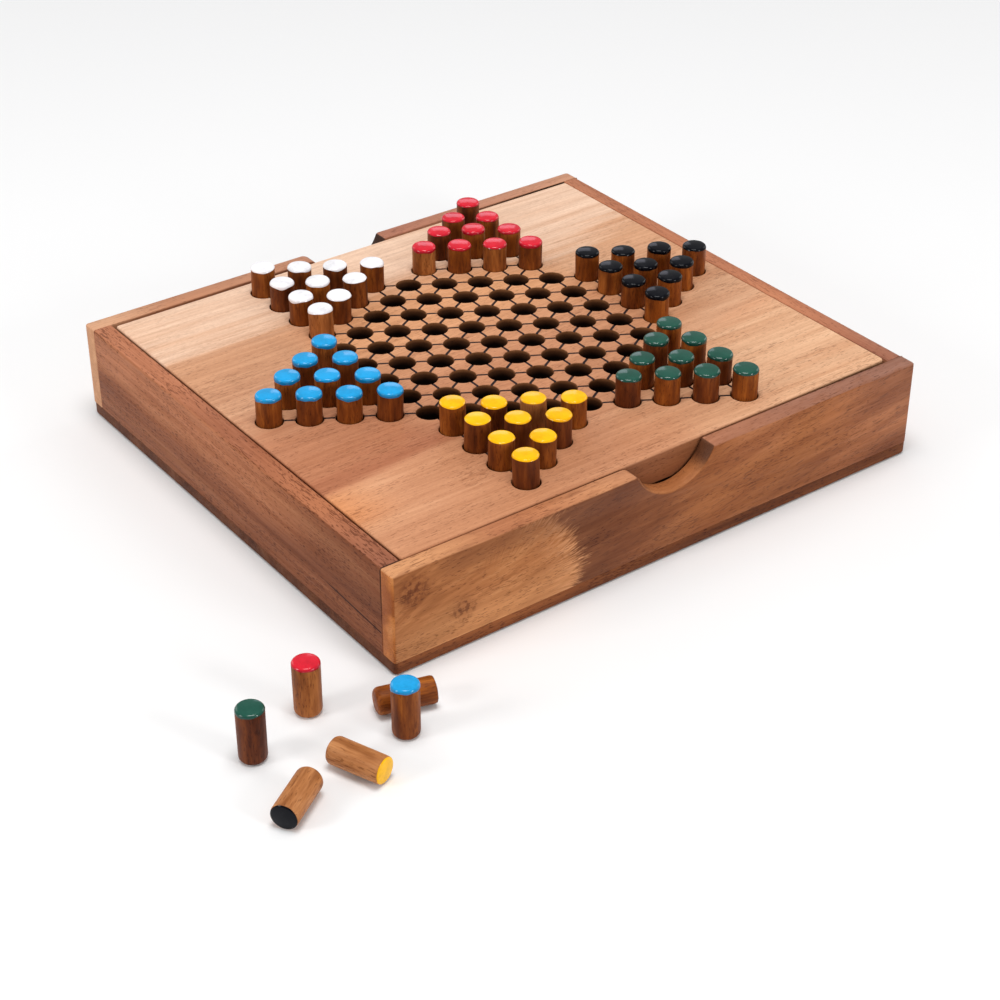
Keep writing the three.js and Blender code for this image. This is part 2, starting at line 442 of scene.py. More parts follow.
def crotch_figure(n, grain, slow):
    """Honey-coloured wood whose fibres spread like hairs from a point low in the figure, out to its rounded
    right-hand edge. Gives its colour, its mask and its ripple."""
    x, _, z = n.separate(grain)
    across = n.larger(n.minus(x, FIGURE_X), 0.0)
    up = n.times(n.minus(z, FIGURE_Z), FIGURE_FLATNESS)
    out = n.distance(across, up)
    turn = n.math("ARCTAN2", up, n.plus(across, 2 * MM))
    hairs = n.sway(n.combine(turn, out, 0.0), *HAIRS, detail=3.0, roughness=0.65)
    inside = n.plus(n.minus(FIGURE_REACH, out), n.plus(n.times(hairs, 0.022), n.times(slow, 0.010)))

    slant = n.plus(n.times(x, -0.34), n.times(slow, 0.012))
    ripple = n.noise(n.shifted(grain, n.combine(0.0, 0.0, slant)), 36, 380, detail=3.0, roughness=0.6)
    honey = n.ramp(n.plus(n.times(ripple, 0.42), n.times(slow, 0.5)),
                   (0.09, (152, 92, 50)), (0.22, (184, 118, 70)), (0.36, (206, 142, 90)))
    lower = n.step(n.swayed(z, slow, 0.02), 0.024, 0.010)
    honey = n.over(honey, lower, 0.42, (230, 164, 108))
    tufts = n.where((inside, 0.020, 0.003), (x, -0.085, -0.062), (hairs, -0.10, 0.14))
    honey = n.over(honey, tufts, 0.62, (230, 168, 120))
    crown = n.where((n.swayed(z, hairs, 0.016), *CROWN_Z), (x, *CROWN_X))
    honey = n.over(honey, crown, 0.52, (116, 66, 38))

    speckle = n.noise(grain, 620, 540, detail=2.5, roughness=0.6)
    low_place = n.plus(n.away(x, LOW_SPECKS_X), n.away(z, LOW_SPECKS_Z))
    low_patch = n.step(low_place, *LOW_SPECKS_REACH)
    low_specks = n.times(n.step(speckle, 0.46, 0.62), n.times(low_patch, 0.8))
    corner = n.distance(n.minus(x, CORNER_SPECKS_X), n.minus(z, CORNER_SPECKS_Z))
    corner_specks = n.where((speckle, 0.40, 0.60), (corner, *CORNER_SPECKS_REACH))
    glow = n.larger(n.step(corner, *CORNER_GLOW_REACH), n.times(low_patch, 0.6))
    honey = n.over(honey, glow, 0.40, (138, 76, 36))
    honey = n.over(honey, n.larger(low_specks, corner_specks), 0.72, (90, 38, 16))
    return honey, n.step(inside, -0.003, 0.004), ripple


def brown_heart(n, grain, slow):
    """Brown wood that grows lighter to the right, with bands and fine dark dashes that rise with it."""
    x, _, z = n.separate(grain)
    brown = n.ramp(n.step(n.swayed(x, slow, 0.05), *HEART_SPAN),
                   (0.0, (128, 77, 47)), (0.10, (136, 80, 47)), (0.23, (158, 97, 57)),
                   (0.38, (170, 104, 58)), (0.70, (168, 103, 58)), (1.0, (176, 110, 70)))
    upper_left = n.where((z, 0.018, 0.036), (x, 0.01, -0.04))
    brown = n.over(brown, upper_left, 0.24, (96, 54, 34))
    lower_right = n.where((z, 0.020, 0.008), (x, 0.025, 0.070))
    brown = n.over(brown, lower_right, 0.75, n.tinted(brown, (0.66, 0.58, 0.50)))
    upper_right = n.where((z, 0.021, 0.030), (x, 0.070, 0.105))
    brown = n.over(brown, upper_right, 0.75, n.tinted(brown, (0.74, 0.68, 0.66)))
    by_notch = n.where((n.away(x, BY_NOTCH_X), 0.026, 0.006), (z, 0.024, 0.034))
    brown = n.over(brown, by_notch, 0.5, (190, 125, 86))

    rising = n.shifted(grain, n.combine(0.0, 0.0, n.times(x, -0.20)))
    band = n.noise(rising, 16, 130, detail=4.0, roughness=0.6)
    brown = n.mix(n.step(band, 0.60, 0.36), brown, n.tinted(brown, (0.76, 0.68, 0.62)))
    brown = n.over(brown, n.step(band, 0.52, 0.70), 0.5, n.tinted(brown, (1.36, 1.36, 1.30)))
    dashes = n.step(n.noise(rising, 210, 1500, detail=1.5), 0.58, 0.68)
    return n.over(brown, dashes, 0.42, (84, 46, 28))


def on_rim(n, z, top, blend=RIM_BLEND):
    """The mask of a wall's top edge."""
    return n.step(z, *[top - depth for depth in blend])


def front_wall_wood():
    """A crotch figure at the left end, with dark specks in it and a furry edge where it meets the heart."""
    n = Nodes("front_wall_wood")
    grain = n.attribute(GRAIN)
    x, _, z = n.separate(grain)
    low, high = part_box("front_wall")
    slow = n.sway(grain, 26, 40, detail=2.0)
    honey, figure, ripple = crotch_figure(n, grain, slow)
    colour = n.mix(figure, brown_heart(n, grain, slow), honey)
    end = n.ramp(n.noise(grain, 10, 90, detail=2.0),
                 (0.38, (162, 91, 46)), (0.55, (203, 125, 64)), (0.70, (222, 149, 88)))
    colour = n.mix(n.step(x, low.x + 0.9 * MM, low.x + 0.3 * MM), colour, end)
    # The top edge is paler than the face, most of all at its left end.
    rim = n.ramp(n.step(x, *RIM_SPAN), (0.0, (222, 160, 112)), (0.08, (188, 122, 84)),
                 (0.16, (198, 130, 89)), (0.30, (212, 148, 104)), (0.62, (182, 123, 94)),
                 (1.0, (158, 111, 92)))
    rim = n.over(rim, n.step(ripple, 0.5, 0.36), 0.3, (150, 92, 60))
    colour = n.over(colour, on_rim(n, n.swayed(z, slow, 0.0012), high.z), 0.9, rim)
    # The notch's face: painted light low down, painted shade towards its shoulders, and a painted highlight
    # on one edge.
    colour = notch_face_light_and_shade(n, grain, colour, "front", (180, 114, 68), (92, 56, 37))
    return finish_wood(n, grain, colour, pores=0.9, pore_depth=0.62, fibre_depth=0.20, roughness=(0.42, 0.56))


def back_wall_wood():
    """Pinkish brown, with light ends."""
    n = Nodes("back_wall_wood")
    grain = n.attribute(GRAIN)
    x, _, z = n.separate(grain)
    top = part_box("back_wall")[1].z
    colour = banded(n, n.shifted(grain, (0.31, 0.02, 0.11)), (4, 60),
                    (146, 90, 62), (180, 120, 86), (212, 156, 118))
    ends = n.step(n.away(x, 0.0), 0.095, 0.123)
    colour = n.over(colour, ends, 0.6, (222, 170, 130))
    rim = n.ramp(n.step(x, *RIM_SPAN), (0.0, (222, 170, 134)), (0.05, (200, 142, 108)),
                 (0.25, (208, 152, 120)), (0.66, (186, 126, 104)), (1.0, (210, 154, 124)))
    colour = n.over(colour, on_rim(n, z, top), 0.8, rim)
    # The notch's face: painted light low down, painted shade towards its shoulders, and a painted highlight
    # on one edge.
    colour = notch_face_light_and_shade(n, grain, colour, "back", (150, 92, 56), (38, 24, 18))
    return finish_wood(n, grain, colour, pores=0.8)


# Places on the left wall, in Y and Z.
CHECK_Y = (-0.102, -0.062)  # from and to, of a hair-fine drying check low down in it
CHECK_Z = 0.0142  # its height at its front end
CHECK_SLOPE = 0.05
CHECK_EDGE = (0.48 * MM, 0.22 * MM)
LEFT_RIM_BLEND = (0.5 * MM, 0.15 * MM)
SEAM_EDGE = (0.75 * MM, 0.25 * MM)  # from the front wall
SIDE_BANDS = (5, 80)


def left_wall_wood():
    """Reddish brown with many pores, darker towards the front end, with painted shade along the bottom and
    painted light near the top edge.
    """
    n = Nodes("left_wall_wood")
    grain = n.attribute(GRAIN)
    y, _, z = n.separate(grain)
    low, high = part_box("left_wall")
    colour = banded(n, n.shifted(grain, (0.13, 0.27, 0.05)), SIDE_BANDS,
                    (136, 79, 50), (169, 104, 68), (194, 129, 89))
    uneven_z = n.swayed(z, n.sway(grain, 12, 60, detail=2.5), 0.022)
    # Painted shade along the bottom, and darker wood towards the front end.
    foot = n.step(uneven_z, 0.031, 0.010)
    forward = n.where((y, -0.02, -0.08), (z, 0.015, 0.022))
    deeper = n.plus(n.times(foot, 0.44), n.times(forward, 0.58))
    colour = n.mix(deeper, colour, (104, 55, 33))
    # Painted light near the upper edge.
    lighter = n.where((uneven_z, 0.029, 0.036), (y, -0.050, 0.010))
    colour = n.over(colour, lighter, 0.55, (198, 130, 92))
    check_z = n.plus(n.times(n.minus(y, CHECK_Y[0]), CHECK_SLOPE), CHECK_Z)
    check = n.where((n.away(z, check_z), *CHECK_EDGE), (y, CHECK_Y[0] - 1 * MM, CHECK_Y[0]),
                    (y, CHECK_Y[1], CHECK_Y[1] - 12 * MM))
    colour = n.over(colour, check, 0.9, (36, 20, 14))
    # The planed top edge is more even, and the joint with the front wall has opened a little at its top.
    rim = n.ramp(n.step(y, -0.11, 0.11), (0.0, (166, 105, 79)), (0.13, (200, 128, 88)),
                 (0.40, (170, 106, 76)), (0.62, (170, 106, 76)), (0.80, (200, 130, 94)))
    colour = n.over(colour, on_rim(n, z, high.z, LEFT_RIM_BLEND), 0.78, rim)
    seam = n.where((y, *[low.y + edge for edge in SEAM_EDGE]), (z, 0.012, 0.036))
    colour = n.over(colour, seam, 0.85, (46, 26, 18))
    return finish_wood(n, grain, colour, pores=1.9, fibre_depth=0.24, pore_depth=0.74)


def right_wall_wood():
    """Light reddish brown. Its top edge darkens towards the front."""
    n = Nodes("right_wall_wood")
    grain = n.attribute(GRAIN)
    y, _, z = n.separate(grain)
    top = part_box("right_wall")[1].z
    colour = banded(n, n.shifted(grain, (0.71, 0.44, 0.19)), SIDE_BANDS,
                    (152, 92, 63), (194, 127, 92), (217, 152, 114))
    rim = n.mix(n.step(y, -0.115, -0.030), (142, 90, 74), (197, 128, 93))
    colour = n.over(colour, on_rim(n, z, top), 0.75, rim)
    return finish_wood(n, grain, colour, pores=1.5)


def base_wood():
    """As the walls, but darker, and darkest at its ends."""
    n = Nodes("base_wood")
    grain = n.attribute(GRAIN)
    x, _, _ = n.separate(grain)
    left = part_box("base_panel")[0].x
    colour = banded(n, n.shifted(grain, (0.52, 0.09, 0.33)), SIDE_BANDS,
                    (104, 57, 31), (138, 79, 42), (162, 97, 54))
    colour = n.over(colour, n.step(x, -0.030, 0.080), 0.8, n.tinted(colour, (0.60, 0.54, 0.46)))
    left_end = n.step(x, left + 2.0 * MM, left + 0.4 * MM)
    colour = n.over(colour, left_end, 0.6, (70, 35, 19))
    return finish_wood(n, grain, colour, pores=2.0, pore_depth=0.75, fibre_depth=0.22)


def ledge_wood():
    n = Nodes("ledge_wood")
    grain = n.shifted(n.attribute(GRAIN), (0.2, 0.6, 0.4))
    colour = banded(n, grain, (5, 75), (150, 98, 62), (178, 122, 82), (200, 148, 104))
    return finish_wood(n, grain, colour, pores=0.6)


def make_woods():
    """One material for each wall, for the base and the ledges, and three for the board."""
    return {
        "front_wall": front_wall_wood(),
        "back_wall": back_wall_wood(),
        "left_wall": left_wall_wood(),
        "right_wall": right_wall_wood(),
        "base_panel": base_wood(),
        "ledges": ledge_wood(),
        "board": board_wood(),
        "hole": hole_wood(),
        "groove": groove_line(),
    }


# ---- mesh helpers

SHARP_DEGREES = 34
BEVEL_SEGMENTS = 3
ROUNDING_STEPS = 5
CORNER_STEPS = 6


def new_object(name, mesh, materials):
    for material in materials:
        mesh.materials.append(material)
    piece = bpy.data.objects.new(name, mesh)
    bpy.context.scene.collection.objects.link(piece)
    return piece


def finished_mesh(name, shape):
    """The bmesh as a mesh with that name."""
    mesh = bpy.data.meshes.new(name)
    shape.to_mesh(mesh)
    shape.free()
    return mesh


def smooth_by_angle(mesh):
    """Smooth shading everywhere but across edges sharper than SHARP_DEGREES."""
    shape = bmesh.new()
    shape.from_mesh(mesh)
    for face in shape.faces:
        face.smooth = True
    for edge in shape.edges:
        edge.smooth = len(edge.link_faces) == 2 and edge.calc_face_angle() < math.radians(SHARP_DEGREES)
    shape.to_mesh(mesh)
    shape.free()


def write_grain(mesh, points):
    """Stores each vertex's place in the wood, along the grain first."""
    layer = mesh.attributes.get(GRAIN) or mesh.attributes.new(GRAIN, "FLOAT_VECTOR", "POINT")
    layer.data.foreach_set("vector", np.asarray(points, np.float32).ravel())


def vertex_places(mesh):
    places = np.empty(len(mesh.vertices) * 3)
    mesh.vertices.foreach_get("co", places)
    return places.reshape(-1, 3)


def round_edges(piece, width, weigh):
    """Rounds the piece's sharp edges, and keeps the result as its mesh. weigh takes an edge's middle and
    gives the share of the width that it is rounded by."""
    shape = bmesh.new()
    shape.from_mesh(piece.data)
    weight = shape.edges.layers.float.new("bevel_weight_edge")
    for face in shape.faces:
        face.smooth = True
    for edge in shape.edges:
        sharp = edge.calc_face_angle() > math.radians(SHARP_DEGREES)
        edge[weight] = weigh((edge.verts[0].co + edge.verts[1].co) / 2) if sharp else 0.0
    shape.to_mesh(piece.data)
    shape.free()
    bevel = piece.modifiers.new("rounding", "BEVEL")
    bevel.width = width
    bevel.segments = BEVEL_SEGMENTS
    bevel.limit_method = "WEIGHT"
    bevel.harden_normals = True
    graph = bpy.context.evaluated_depsgraph_get()
    rounded = bpy.data.meshes.new_from_object(piece.evaluated_get(graph), depsgraph=graph)
    rounded.name = piece.data.name
    piece.modifiers.clear()
    piece.data = rounded
    smooth_by_angle(rounded)


def prism(name, outline, low_y, high_y, materials):
    """A solid whose outline in X and Z is drawn along Y."""
    shape = bmesh.new()
    front = [shape.verts.new((x, low_y, z)) for x, z in outline]
    back = [shape.verts.new((x, high_y, z)) for x, z in outline]
    shape.faces.new(front)
    shape.faces.new(back[::-1])
    for i in range(len(outline)):
        j = (i + 1) % len(outline)
        shape.faces.new((front[j], front[i], back[i], back[j]))
    bmesh.ops.recalc_face_normals(shape, faces=shape.faces)
    return new_object(name, finished_mesh(name, shape), materials)


def rounded_rectangle(half_x, half_y, radii, inset):
    """A rectangle's outline about the origin, inset by so much, with a round corner in each quarter:
    back right, back left, front left, front right."""
    points = []
    for quarter, (sx, sy) in enumerate(((1, 1), (-1, 1), (-1, -1), (1, -1))):
        radius = radii[quarter]
        for step in range(CORNER_STEPS + 1):
            angle = math.radians(90 * (quarter + step / CORNER_STEPS))
            points.append((sx * (half_x - radius) + (radius - inset) * math.cos(angle),
                           sy * (half_y - radius) + (radius - inset) * math.sin(angle)))
    return points


def rounded_levels(low_z, foot_radius, high_z, top_radius):
    """Pairs of how far an outline is inset and at what height, from the top down, for rounded edges."""
    turns = [math.pi / 2 * step / ROUNDING_STEPS for step in range(ROUNDING_STEPS + 1)]
    top = [(top_radius * (1 - math.sin(t)), high_z - top_radius * (1 - math.cos(t))) for t in turns]
    foot = [(foot_radius * (1 - math.sin(t)), low_z + foot_radius * (1 - math.cos(t))) for t in turns]
    return top + foot[::-1]


def ring_stack(name, rings):
    """A closed mesh through rings of equally many points, flat at both ends."""
    shape = bmesh.new()
    loops = [[shape.verts.new(point) for point in ring] for ring in rings]
    shape.faces.new(loops[0])
    shape.faces.new(loops[-1][::-1])
    for upper, lower in zip(loops, loops[1:]):
        for i in range(len(upper)):
            j = (i + 1) % len(upper)
            shape.faces.new((upper[i], lower[i], lower[j], upper[j]))
    bmesh.ops.recalc_face_normals(shape, faces=shape.faces)
    return finished_mesh(name, shape)


def place(piece, body, slot, node=None):
    """Says which body the piece rides on and which CAD node it stands for. The slot is not used."""
    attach(piece, body)
    if node:
        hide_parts(node)
    return piece


# ---- the box

NEAR = 0.01 * MM
WALL_ROUNDING = 2.2 * MM  # at the right-hand ends of the long walls
OUTER_SHARE = 0.62  # the share of it on their other outer edges
INNER_SHARE = 0.20  # and on the edges next to the board
JOINT_ROUNDING = 0.45 * MM  # on the short walls, apart from their outer top edges
BASE_CORNERS = (2.2 * MM, 2.2 * MM, 1.8 * MM, 2.2 * MM)
BASE_FOOT_ROUNDING = 1.3 * MM
BASE_TOP_EDGE = 0.15 * MM
NOTCH_STEPS = 40
LEFT_SHOULDER = 3.2 * MM  # the notch's left shoulder is worn round, the right one is crisp
SHOULDER_STEPS = 6


def notch_outline(low, high, notch_x):
    """A long wall's outline in X and Z: a rectangle with the finger notch in its top edge. The left shoulder
    is a quadratic curve from the arc to the rim, about the corner that they would make."""
    rim = high.z
    centre_z = rim - NOTCH_DEPTH + NOTCH_RADIUS
    half_angle = math.acos((NOTCH_RADIUS - NOTCH_DEPTH) / NOTCH_RADIUS)

    def on_arc(angle):
        return (notch_x + NOTCH_RADIUS * math.sin(angle), centre_z - NOTCH_RADIUS * math.cos(angle))

    outline = [(low.x, low.z), (high.x, low.z), (high.x, rim)]
    start_angle = -half_angle + LEFT_SHOULDER / NOTCH_RADIUS
    for step in range(NOTCH_STEPS + 1):
        outline.append(on_arc(half_angle + (start_angle - half_angle) * step / NOTCH_STEPS))
    corner = on_arc(-half_angle)
    arc_end = outline[-1]
    rim_end = (corner[0] - LEFT_SHOULDER, rim)
    for step in range(1, SHOULDER_STEPS + 1):
        t = step / SHOULDER_STEPS
        outline.append(tuple((1 - t) ** 2 * start + 2 * t * (1 - t) * middle + t * t * end
                             for start, middle, end in zip(arc_end, corner, rim_end)))
    outline.append((low.x, rim))
    return outline


def make_long_wall(side, woods):
    """The front or the back wall, with its grain along X."""
    node = f"{side}_wall"
    low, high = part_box(node)
    inner_y = high.y if side == "front" else low.y

    def weigh(middle):
        if middle.z < low.z + NEAR:
            return 0.0
        if abs(middle.y - inner_y) < NEAR:
            return INNER_SHARE
        return 1.0 if middle.x > high.x - NEAR else OUTER_SHARE

    piece = prism(f"{node}_wood", notch_outline(low, high, NOTCH_X[side]), low.y, high.y, [woods[node]])
    round_edges(piece, WALL_ROUNDING, weigh)
    write_grain(piece.data, vertex_places(piece.data))
    place(piece, ROOT, f"{node}_wood", node)


def block_piece(name, node, material, outer_rounding=0.0):
    """A block with its grain along Y. Its outer top edge can be rounded more than the others."""
    low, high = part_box(node)
    outline = [(low.x, low.z), (high.x, low.z), (high.x, high.z), (low.x, high.z)]
    piece = prism(name, outline, low.y, high.y, [material])
    widest = max(outer_rounding, JOINT_ROUNDING)
    outer_x = max(low.x, high.x, key=abs)

    def weigh(middle):
        if middle.z < low.z + NEAR:
            return 0.0
        outer_top = middle.z > high.z - NEAR and abs(middle.x - outer_x) < NEAR
        return (outer_rounding if outer_top and outer_rounding else JOINT_ROUNDING) / widest

    round_edges(piece, widest, weigh)
    write_grain(piece.data, vertex_places(piece.data)[:, (1, 0, 2)])
    return piece


def make_box(woods):
    """Four walls, two ledges under the board and the base."""
    for side in ("front", "back"):
        make_long_wall(side, woods)
    for side in ("left", "right"):
        node = f"{side}_wall"
        rounding = WALL_ROUNDING * (OUTER_SHARE if side == "left" else 1.0)
        wall = block_piece(f"{node}_wood", node, woods[node], rounding)
        place(wall, ROOT, f"{node}_wood", node)
        node = f"{side}_ledge"
        ledge = block_piece(f"{node}_wood", node, woods["ledges"])
        place(ledge, ROOT, "ledge_wood", node)
    low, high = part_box("base_panel")
    half = (high - low) / 2
    levels = rounded_levels(low.z, BASE_FOOT_ROUNDING, high.z, BASE_TOP_EDGE)
    rings = [[(x, y, z) for x, y in rounded_rectangle(half.x, half.y, BASE_CORNERS, inset)]
             for inset, z in levels]
    mesh = ring_stack("base_panel", rings)
    smooth_by_angle(mesh)
    write_grain(mesh, vertex_places(mesh))
    place(new_object("base_panel_wood", mesh, [woods["base_panel"]]), ROOT, "base_wood", "base_panel")


# ---- the playing board

ARM = 4  # holes along one side of an arm
HOLE_RADIUS = 5.4 * MM
HOLE_DEPTH = 10.5 * MM
HOLE_EASING = 0.22 * MM  # how far the rim of a hole is chamfered
HOLE_STEPS = 48
GROOVE_HALF_WIDTH = 0.53 * MM
GROOVE_DEPTH = 0.38 * MM
MOUTH_DROP = 0.05 * MM  # how much lower a groove is at the hole's wall than at its rim
BOARD_CORNERS = (1.2 * MM, 1.0 * MM, 1.0 * MM, 2.0 * MM)
BOARD_FORWARD = 0.25 * MM  # the board lies this much to the front of its holes
BOARD_SKEW = 1.0 * MM  # and the left end of its long edges this much further
TOP_ROUNDING = 0.9 * MM
FOOT_EDGE = 0.4 * MM
# The six steps to a neighbouring hole, with their directions in degrees from +X.
ROWS = {(1, 0): 30, (0, 1): 90, (-1, 1): 150, (-1, 0): 210, (0, -1): 270, (1, -1): 330}
HALF_OF_ROWS = ((1, 0), (0, 1), (-1, 1))  # enough to reach each groove once
INSIDE_HOLE = 0.998  # a triangle whose middle is nearer than this share of a hole's radius,
INSIDE_GROOVE = 0.98  # or of a groove's half width, lies in it
MERGING = 1e-5  # points closer than this, in millimetres, would count as one
WOOD, HOLE, GROOVE = 0, 1, 2  # the board's material slots


def star_cells():
    """Every hole of the star, as whole steps along two of the lattice's rows."""
    reach = range(-2 * ARM, 2 * ARM + 1)
    cells = []
    for a in reach:
        for b in reach:
            third = -a - b
            if max(a, b, third) <= ARM or min(a, b, third) >= -ARM:
                cells.append((a, b))
    return cells


def star_places():
    """Where each hole's middle is, by its cell."""
    pitch = (centre("black_peg_2") - centre("black_peg_1")).length
    hub = centre(BOARD).xy
    turn = Matrix.Rotation(math.radians(ROWS[1, 0]), 2)
    return {(a, b): hub + turn @ Vector((a + b / 2, b * math.sqrt(3) / 2)) * pitch for a, b in star_cells()}


def board_outline(half_x, half_y, inset):
    """The board's outline, inset by so much. It was cut a little askew of its holes."""
    return [(x, y - BOARD_FORWARD - BOARD_SKEW * (0.5 - x / half_x / 2))
            for x, y in rounded_rectangle(half_x, half_y, BOARD_CORNERS, inset)]


class BoardMesh:
    """Collects the board's vertices, and its faces with their material slots."""

    def __init__(self):
        self.low, self.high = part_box(BOARD)
        self.points = []
        self.faces = []
        self.slots = []
        self.flat_points = []  # indices of the vertices on the flat top, outlines included
        self.flat_edges = []  # edges that the flat top's triangles keep to

    def add_point(self, x, y, z):
        self.points.append((x, y, z))
        return len(self.points) - 1

    def add_face(self, slot, *corners):
        self.faces.append(corners)
        self.slots.append(slot)

    def add_ring_of_faces(self, slot, upper, lower):
        for i in range(len(upper)):
            j = (i + 1) % len(upper)
            self.add_face(slot, upper[i], lower[i], lower[j], upper[j])

    def add_outside(self):
        """The rounded edges, the sides and the underside."""
        size = self.high - self.low
        middle = centre(BOARD)
        rings = []

        def add_ring(inset, z):
            outline = board_outline(size.x / 2, size.y / 2, inset)
            rings.append([self.add_point(middle.x + x, middle.y + y, z) for x, y in outline])

        for inset, z in rounded_levels(self.low.z, FOOT_EDGE, self.high.z, TOP_ROUNDING):
            add_ring(inset, z)
        for upper, lower in zip(rings, rings[1:]):
            self.add_ring_of_faces(WOOD, upper, lower)
        self.add_face(WOOD, *reversed(rings[-1]))
        self.flat_points += rings[0]
        self.flat_edges += zip(rings[0], rings[0][1:] + rings[0][:1])

    def add_hole(self, place, groove_degrees):
        """One blind hole. Returns, for each groove that opens into it, the rim's vertices to the right of
        the groove, at its bottom and to the left of it, as seen from the hole."""
        half = math.degrees(math.asin(GROOVE_HALF_WIDTH / HOLE_RADIUS))
        entries = []  # pairs: an angle in degrees, and the groove whose bottom this is or None
        for step in range(HOLE_STEPS):
            angle = 360 * step / HOLE_STEPS
            if angle in groove_degrees:
                entries += [(angle - half, None), (angle, angle), (angle + half, None)]
            else:
                entries.append((angle, None))
        rim, throat, foot = [], [], []
        top = self.high.z
        for angle, groove in entries:
            along = Vector((math.cos(math.radians(angle)), math.sin(math.radians(angle))))
            outer = place + along * (HOLE_RADIUS + HOLE_EASING)
            inner = place + along * HOLE_RADIUS
            sunk = GROOVE_DEPTH if groove is not None else 0.0
            rim.append(self.add_point(*outer, top - sunk))
            drop = sunk + MOUTH_DROP if sunk else HOLE_EASING
            throat.append(self.add_point(*inner, top - drop))
            foot.append(self.add_point(*inner, top - HOLE_DEPTH))
        for i in range(len(entries)):
            j = (i + 1) % len(entries)
            at_mouth = entries[i][1] is not None or entries[j][1] is not None
            self.add_face(GROOVE if at_mouth else WOOD, throat[i], rim[i], rim[j], throat[j])
        self.add_ring_of_faces(HOLE, foot, throat)
        self.add_face(HOLE, *foot)
        mouths = {}
        count = len(entries)
        for i, (_, groove) in enumerate(entries):
            after = (i + 1) % count
            if groove is not None:
                mouths[groove] = (rim[i - 1], rim[i], rim[after])
                continue
            self.flat_points.append(rim[i])
            if entries[after][1] is None:
                self.flat_edges.append((rim[i], rim[after]))
        return mouths

    def add_groove(self, near, far):
        """A V-shaped groove between two holes' mouths."""
        right, bottom, left = near
        far_right, far_bottom, far_left = far
        self.add_face(GROOVE, right, far_left, far_bottom, bottom)
        self.add_face(GROOVE, bottom, far_bottom, far_right, left)
        self.flat_edges += [(right, far_left), (left, far_right)]

    def add_flat_top(self, holes, grooves):
        """Triangles all over the flat top, but for the holes and the grooves. Each groove is given by the
        middles of its two holes."""
        flat = [Vector(self.points[i][:2]) / MM for i in self.flat_points]
        number = {point: i for i, point in enumerate(self.flat_points)}
        edges = [(number[a], number[b]) for a, b in self.flat_edges]
        _, _, triangles, sources, _, _ = delaunay_2d_cdt(flat, edges, [], 0, MERGING)
        hole_places = np.array([tuple(h) for h in holes])
        starts = np.array([tuple(a) for a, _ in grooves])
        ends = np.array([tuple(b) for _, b in grooves])
        along = (ends - starts) / np.linalg.norm(ends - starts, axis=1)[:, None]
        reach = np.linalg.norm(ends - starts, axis=1)
        for triangle in triangles:
            corners = [self.flat_points[sources[i][0]] for i in triangle]
            middle = np.mean([self.points[i][:2] for i in corners], axis=0)
            if np.linalg.norm(hole_places - middle, axis=1).min() < INSIDE_HOLE * (HOLE_RADIUS + HOLE_EASING):
                continue
            offset = middle - starts
            run = (offset * along).sum(axis=1)
            aside = np.abs(offset[:, 0] * along[:, 1] - offset[:, 1] * along[:, 0])
            if ((run > 0) & (run < reach) & (aside < INSIDE_GROOVE * GROOVE_HALF_WIDTH)).any():
                continue
            self.add_face(WOOD, *corners)

    def build(self):
        """The finished mesh."""
        cells = star_places()
        self.add_outside()
        mouths = {}
        for (a, b), place in cells.items():
            opens = {turn for (da, db), turn in ROWS.items() if (a + da, b + db) in cells}
            mouths[a, b] = self.add_hole(place, opens)
        grooves = []
        for (a, b), place in cells.items():
            for da, db in HALF_OF_ROWS:
                other = (a + da, b + db)
                if other not in cells:
                    continue
                angle = ROWS[da, db]
                self.add_groove(mouths[a, b][angle], mouths[other][(angle + 180) % 360])
                grooves.append((place, cells[other]))
        self.add_flat_top(list(cells.values()), grooves)
        mesh = bpy.data.meshes.new("board")
        mesh.from_pydata(self.points, [], self.faces)
        mesh.polygons.foreach_set("material_index", self.slots)
        shape = bmesh.new()
        shape.from_mesh(mesh)
        bmesh.ops.recalc_face_normals(shape, faces=shape.faces)
        shape.to_mesh(mesh)
        shape.free()
        return mesh


def make_board(woods):
    mesh = BoardMesh().build()
    smooth_by_angle(mesh)
    write_grain(mesh, vertex_places(mesh))
    board = new_object("playing_board_wood", mesh, [woods["board"], woods["hole"], woods["groove"]])
    place(board, BOARD, "board_wood", BOARD)


# ---- the pegs

PEG_RADIUS = 4.92 * MM
PEG_LENGTH = 21.5 * MM
PEG_STEPS = 40
FOOT_ROUNDING = 1.9 * MM
FOOT_STEPS = 4
SIDE_RINGS = 6
PEG_EDGE = 1.1 * MM  # the rounding of a top's edge
EDGE_SHARES = (0.75, 0.5, 0.3, 0.12, 0.03, 0.0)  # the rings on it, as shares of the way down it
WOBBLE = 0.05 * MM  # how far from round a dowel is,
WOBBLE_TWIST = 90  # and how many radians this turns through per metre
PAINT_DOME = 0.36 * MM  # how far the paint stands up in the middle of the top
DOME_SHARES = (0.90, 0.66, 0.36)
PAINT_FILM = 0.08 * MM
PAINT_BEAD = 0.03 * MM  # how much prouder the paint stands near its lower edge
BEAD_SHARE = 0.93  # which is this share of the way down
PAINT_SHARES = (0.78, 0.58, 0.40, 0.24, 0.12, 0.04, 0.0)
PAINT_TUCK = 0.12 * MM  # how far the lower edge of the paint is tucked into the wood
PAINT_FLOOR = 0.2 * MM  # the coat's hidden underside lies this far below the wood's top
LEAST_LAP = 0.25 * MM
MOST_SLANT = 0.25  # of the painted depth, as a share of it
WAVE_SIZES = (0.02, 0.07)  # the same for the waves along its edge, from and to
WAVE_COUNTS = (2, 3, 5, 8)
PAINT_RELIEF = 0.18 * MM
DRIPS = 2
DRIP_WIDTH = math.radians(26)
RIM_SHADE_DEPTH = 0.9 * MM  # paint this far down the side has its full painted shade
MOST_LEAN = 1.6  # degrees that a peg may lean in its hole
